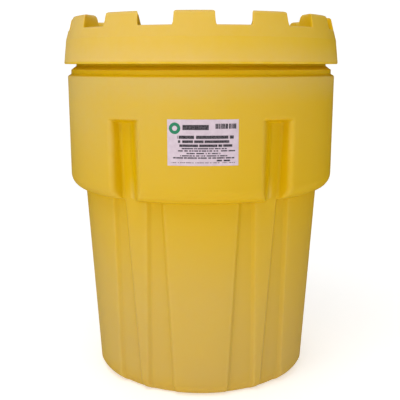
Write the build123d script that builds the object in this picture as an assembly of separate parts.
from build123d import *
import math
import os

# Overpack salvage drum: a rotomoulded polyethylene drum that takes a damaged 55-gallon steel drum.
# Millimetres, +Z up. The origin is the centre of the flat base, and the front, with the label, faces -Y.
# Angles on plan are in degrees from the front, positive towards +X.

# Driving dimensions of the drum body
WALL = 6.0
BASE_RADIUS = 320.0
CONE_SLOPE = 0.0593  # growth of the lower body's radius per unit of height
BASE_ROUNDING = 38.0
BAND_BOTTOM = 561.0
BAND_LOW_RADIUS = 395.0
BAND_TOP_RADIUS = 397.0
BAND_LIP = 575.0
BAND_ROUNDING = 42.0
SHOULDER_HEIGHT = 891.0
COLLAR_RADIUS = 387.0
COLLAR_LOW, COLLAR_HIGH = 897.0, 909.0
NECK_RADIUS = 371.5
NECK_LOW = 920.0
RIM_HEIGHT = 977.5

# Flutes of the lower body: two between each wide panel and the next, beside a narrow panel
SECTORS = 6
FLUTE_DEPTH = 10.0
FLUTE_TOP = 760.0
FLUTE_DRAFT = 1.0
WIDE_HALF_LOW, WIDE_HALF_HIGH = 13.9, 17.4
NARROW_HALF_LOW, NARROW_HALF_HIGH = 2.4, 6.2

# Open-bottomed slots of the band. A front slot's near wall runs almost along Y, and its far wall slants in
# to the edge of the narrow panel. Each is given by x at the band's face, y there, and its lean from Y.
SLOT_TOP = 779.0
NEAR_WALL = 164.4, -360.8, 8.9
FAR_WALL = 240.0, -314.0, -49.6
SLOT_OUT_Y, SLOT_IN_Y = -420.0, -266.0
SIDE_SLOT_HALF_IN, SIDE_SLOT_HALF_OUT = 21.2, 48.5
SIDE_SLOT_IN, SIDE_SLOT_OUT = 300.0, 420.0

# Driving dimensions of the lid
LID_WALL = 5.5
SKIRT_BOTTOM = 925.0
SKIRT_RADIUS = 406.5
SKIRT_TOP, SKIRT_TOP_RADIUS = 993.0, 399.0
RIM_FLOOR, RIM_FLOOR_RADIUS = 1021.5, 391.0
DECK_TOP, DECK_RADIUS = 1008.0, 312.0
DECK_UNDERSIDE = 985.0
BORE_RADIUS = 378.5
SEAT_HEIGHT, SEAT_IN_RADIUS = 990.0, 351.0
LID_ANGLE = -2.5

# Castellated lugs round the lid
LUG_COUNT = 12
LUG_TOP = 1057.0
LUG_BASE = 1015.0
LUG_OUT_LOW, LUG_OUT_HIGH = 392.6, 382.0
LUG_IN_LOW, LUG_IN_HIGH = 328.0, 334.0
LUG_HALF_OUT_LOW, LUG_HALF_OUT_HIGH = 8.5, 7.8
LUG_HALF_IN_LOW, LUG_HALF_IN_HIGH = 4.4, 3.6
LUG_VOID_BASE = 1004.0

# Screw thread between neck and lid: one start, right hand
LEAD = 25.4
THREAD_HEIGHT = 5.5
THREAD_BURY = 1.5
NECK_THREAD_ROOT_WIDTH, NECK_THREAD_CREST_WIDTH = 12.0, 6.0
LID_THREAD_ROOT_WIDTH, LID_THREAD_CREST_WIDTH = 10.0, 4.0
LID_THREAD_LOW, LID_THREAD_TURNS = 932.0, 1.2
NECK_THREAD_RISE = 9.4  # height of the neck's ridge over the lid's ridge that pulls up against it
NECK_THREAD_EARLY = 0.5  # turns by which the neck's ridge starts before the lid's
NECK_THREAD_TURNS = 1.55

# Gasket and label
GAP = 0.3
GASKET_IN_RADIUS, GASKET_OUT_RADIUS = 353.0, 376.5
LABEL_START, LABEL_END = -12.5, 14.0
LABEL_LOW, LABEL_HIGH = 669.0, 787.0
LABEL_THICKNESS = 0.4

PAST_AXIS = -60.0
FAR = 1200.0


def cone_radius(z):
    """Radius of the lower body's panels at height z."""
    return BASE_RADIUS + CONE_SLOPE * z


def band_radius(z):
    """Radius of the band's face at height z."""
    share = (z - BAND_LIP) / (SHOULDER_HEIGHT - BAND_LIP)
    return BAND_LOW_RADIUS + share * (BAND_TOP_RADIUS - BAND_LOW_RADIUS)


def turned(shape, angle):
    """A shape built on +X, turned to an angle from the front."""
    return Rot(0, 0, angle - 90) * shape


def on_plan(radius, angle):
    """The point at a radius, angle degrees round from +X."""
    return radius * math.cos(math.radians(angle)), radius * math.sin(math.radians(angle))


def half_section(corners, inset):
    """Face right of the axis, from (radius, height, rounding) corners, shrunk by inset."""
    points = [(radius, height) for radius, height, _ in corners]
    rounds = [rounding for _, _, rounding in corners[1:-1]]
    outline = FilletPolyline(*points, radius=rounds) + Line(points[-1], points[0])
    face = make_face(outline)
    if inset:
        face = offset(face, amount=-inset)
    return Plane.XZ * (face & Pos(FAR / 2, FAR / 2) * Rectangle(FAR, 2 * FAR))


def ring_sector(height, inner, outer, inner_span, outer_span):
    """Face at a height between two arcs; each span is a pair of angles round from +X."""
    (in_a, in_b), (out_a, out_b) = inner_span, outer_span
    inner_arc = ThreePointArc(*[on_plan(inner, a) for a in (in_a, (in_a + in_b) / 2, in_b)])
    outer_arc = ThreePointArc(*[on_plan(outer, a) for a in (out_b, (out_a + out_b) / 2, out_a)])
    sides = Line(inner_arc @ 1, outer_arc @ 0) + Line(outer_arc @ 1, inner_arc @ 0)
    return Pos(0, 0, height) * make_face(inner_arc + sides + outer_arc)


def core(inset):
    """The fluted cone, from the base up to the shoulder, shrunk by inset."""
    corners = [
        (PAST_AXIS, 0, 0),
        (BASE_RADIUS, 0, BASE_ROUNDING),
        (cone_radius(SHOULDER_HEIGHT), SHOULDER_HEIGHT, 0),
        (PAST_AXIS, SHOULDER_HEIGHT, 0),
    ]
    solid = revolve(half_section(corners, inset), Axis.Z)
    cutter = flute(inset)
    mirrored = mirror(cutter, Plane.XZ)
    for i in range(SECTORS):
        solid -= [turned(cutter, 360 / SECTORS * i), turned(mirrored, 360 / SECTORS * i)]
    return solid


def flute_span(height, inset, draft):
    """Angles of a flute's two sides, from the middle of its wide panel."""
    share = height / BAND_BOTTOM
    start = WIDE_HALF_LOW + share * (WIDE_HALF_HIGH - WIDE_HALF_LOW)
    narrow = NARROW_HALF_LOW + share * (NARROW_HALF_HIGH - NARROW_HALF_LOW)
    spread = math.degrees(inset / cone_radius(height))
    return start - spread + draft, 180 / SECTORS - narrow + spread - draft


def flute(inset):
    """Cutter for one flute, which narrows upwards and fades out inside a slot."""
    sections = []
    for height, depth in ((-10.0, FLUTE_DEPTH), (BAND_BOTTOM, FLUTE_DEPTH), (FLUTE_TOP, 0.0)):
        floor = cone_radius(height) - depth - inset
        inner_span = flute_span(height, inset, FLUTE_DRAFT)
        outer_span = flute_span(height, inset, -FLUTE_DRAFT)
        sections.append(ring_sector(height, floor, floor + 2 * FLUTE_DEPTH, inner_span, outer_span))
    return loft(sections, ruled=True)


def top_half(inset):
    """The band, shoulder, collar and neck, filled to the axis, shrunk by inset."""
    corners = [
        (PAST_AXIS, BAND_BOTTOM, 0),
        (cone_radius(BAND_BOTTOM), BAND_BOTTOM, 0),
        (BAND_LOW_RADIUS, BAND_LIP, BAND_ROUNDING),
        (BAND_TOP_RADIUS, SHOULDER_HEIGHT, 5),
        (COLLAR_RADIUS, COLLAR_LOW, 2),
        (COLLAR_RADIUS, COLLAR_HIGH, 3),
        (NECK_RADIUS, NECK_LOW, 4),
        (NECK_RADIUS, RIM_HEIGHT + 4 * WALL, 0),
        (PAST_AXIS, RIM_HEIGHT + 4 * WALL, 0),
    ]
    solid = revolve(half_section(corners, inset), Axis.Z)
    return solid - slots(inset)


def wall_x(y, wall, at_y, lean):
    """Where a slot's wall lies at y, leaning from Y by so many degrees."""
    return wall + (y - at_y) * math.tan(math.radians(lean))


def slots(inset):
    """Cutters for the band's six open-bottomed slots, grown by inset."""
    near = [(wall_x(y, *NEAR_WALL), y) for y in (SLOT_IN_Y, SLOT_OUT_Y)]
    far = [(wall_x(y, *FAR_WALL), y) for y in (SLOT_OUT_Y, SLOT_IN_Y)]
    front = near + far
    side = [
        (SIDE_SLOT_IN, -SIDE_SLOT_HALF_IN),
        (SIDE_SLOT_OUT, -SIDE_SLOT_HALF_OUT),
        (SIDE_SLOT_OUT, SIDE_SLOT_HALF_OUT),
        (SIDE_SLOT_IN, SIDE_SLOT_HALF_IN),
    ]
    low = BAND_BOTTOM - BAND_ROUNDING
    cutters = []
    for outline in (front, side):
        face = make_face(Polyline(*outline, close=True))
        if inset:
            face = offset(face, amount=inset)
        cutters.append(extrude(Pos(0, 0, low) * face, SLOT_TOP + inset - low))
    front_right, side_right = cutters
    front_pair = [front_right, mirror(front_right, Plane.YZ)]
    back_pair = [mirror(cutter, Plane.XZ) for cutter in front_pair]
    return front_pair + back_pair + [side_right, mirror(side_right, Plane.YZ)]


def ridge(root, outward, root_width, crest_width, low, turns, start_angle):
    """A helical thread ridge that stands off a wall, outward from the axis or into the bore."""
    side = 1 if outward else -1
    path = Helix(pitch=LEAD, height=LEAD * turns, radius=root)
    profile = Polyline(
        (-side * THREAD_BURY, -root_width / 2),
        (side * THREAD_HEIGHT, -crest_width / 2),
        (side * THREAD_HEIGHT, crest_width / 2),
        (-side * THREAD_BURY, root_width / 2),
        close=True,
    )
    plane = Plane(origin=path @ 0, x_dir=(1, 0, 0), z_dir=(0, -1, 0))
    body = sweep(plane * make_face(profile), path=path, is_frenet=True)
    return Pos(0, 0, low) * turned(body, start_angle)


def drum_body():
    """Single-wall moulded shell: the outside form less the same form shrunk by the wall."""
    shell = (core(0) + top_half(0)) - (core(WALL) + top_half(WALL))
    shell &= Pos(0, 0, RIM_HEIGHT / 2) * Box(FAR, FAR, RIM_HEIGHT)
    thread = ridge(
        NECK_RADIUS,
        True,
        NECK_THREAD_ROOT_WIDTH,
        NECK_THREAD_CREST_WIDTH,
        LID_THREAD_LOW + NECK_THREAD_RISE - NECK_THREAD_EARLY * LEAD,
        NECK_THREAD_TURNS,
        -360 * NECK_THREAD_EARLY,
    )
    return shell + thread


def lid_form(inset):
    """The lid's outside form: skirt, deck, gasket seat and lugs, shrunk by inset."""
    corners = [
        (PAST_AXIS, DECK_TOP, 0),
        (DECK_RADIUS, DECK_TOP, 8),
        (DECK_RADIUS + 8, RIM_FLOOR, 6),
        (RIM_FLOOR_RADIUS, RIM_FLOOR, 6),
        (SKIRT_TOP_RADIUS, SKIRT_TOP, 6),
        (SKIRT_RADIUS, SKIRT_BOTTOM, 2.5),
        (BORE_RADIUS, SKIRT_BOTTOM, 3),
        (BORE_RADIUS, SEAT_HEIGHT, 0),
        (SEAT_IN_RADIUS, SEAT_HEIGHT, 0),
        (SEAT_IN_RADIUS, DECK_UNDERSIDE, 0),
        (PAST_AXIS, DECK_UNDERSIDE, 0),
    ]
    solid = revolve(half_section(corners, inset), Axis.Z)
    tooth = lug(inset)
    return solid + [turned(tooth, LID_ANGLE + 360 / LUG_COUNT * i) for i in range(LUG_COUNT)]


def lug(inset):
    """One castellation: broad outside, narrow inside, drafted on every face."""
    base = LUG_VOID_BASE if inset else LUG_BASE
    share = (base - LUG_BASE) / (LUG_TOP - LUG_BASE)
    sections = []
    for height, at in ((base, share), (LUG_TOP - inset, 1.0)):
        outer = LUG_OUT_LOW + at * (LUG_OUT_HIGH - LUG_OUT_LOW) - inset
        inner = LUG_IN_LOW + at * (LUG_IN_HIGH - LUG_IN_LOW) + inset
        half_out = LUG_HALF_OUT_LOW + at * (LUG_HALF_OUT_HIGH - LUG_HALF_OUT_LOW)
        half_in = LUG_HALF_IN_LOW + at * (LUG_HALF_IN_HIGH - LUG_HALF_IN_LOW)
        half_out -= math.degrees(1.6 * inset / outer)
        half_in -= math.degrees(0.9 * inset / inner)
        spans = (-half_in, half_in), (-half_out, half_out)
        sections.append(ring_sector(height, inner, outer, *spans))
    return loft(sections, ruled=True)


def lid():
    """Hollow double-wall lid with a thread in its bore."""
    thread = ridge(
        BORE_RADIUS,
        False,
        LID_THREAD_ROOT_WIDTH,
        LID_THREAD_CREST_WIDTH,
        LID_THREAD_LOW,
        LID_THREAD_TURNS,
        0,
    )
    return lid_form(0) - lid_form(LID_WALL) + thread


def lid_gasket():
    """Foam ring in the lid's seat, over the drum's rim."""
    low, high = RIM_HEIGHT + GAP, SEAT_HEIGHT - GAP
    ring = Circle(GASKET_OUT_RADIUS) - Circle(GASKET_IN_RADIUS)
    return Pos(0, 0, low) * extrude(ring, high - low)


def label():
    """Thin label bonded to the band's face, round the front."""
    low, high = band_radius(LABEL_LOW), band_radius(LABEL_HIGH)
    outline = Polyline(
        (low, LABEL_LOW),
        (low + LABEL_THICKNESS, LABEL_LOW),
        (high + LABEL_THICKNESS, LABEL_HIGH),
        (high, LABEL_HIGH),
        close=True,
    )
    patch = revolve(Plane.XZ * make_face(outline), Axis.Z, LABEL_END - LABEL_START)
    return turned(patch, LABEL_START)


os.makedirs("parts", exist_ok=True)
for build in (drum_body, lid, lid_gasket, label):
    node = build()
    export_step(node, f"parts/{build.__name__}.step")
    print(build.__name__, "solids", len(node.solids()), "volume", round(node.volume), "valid", node.is_valid)
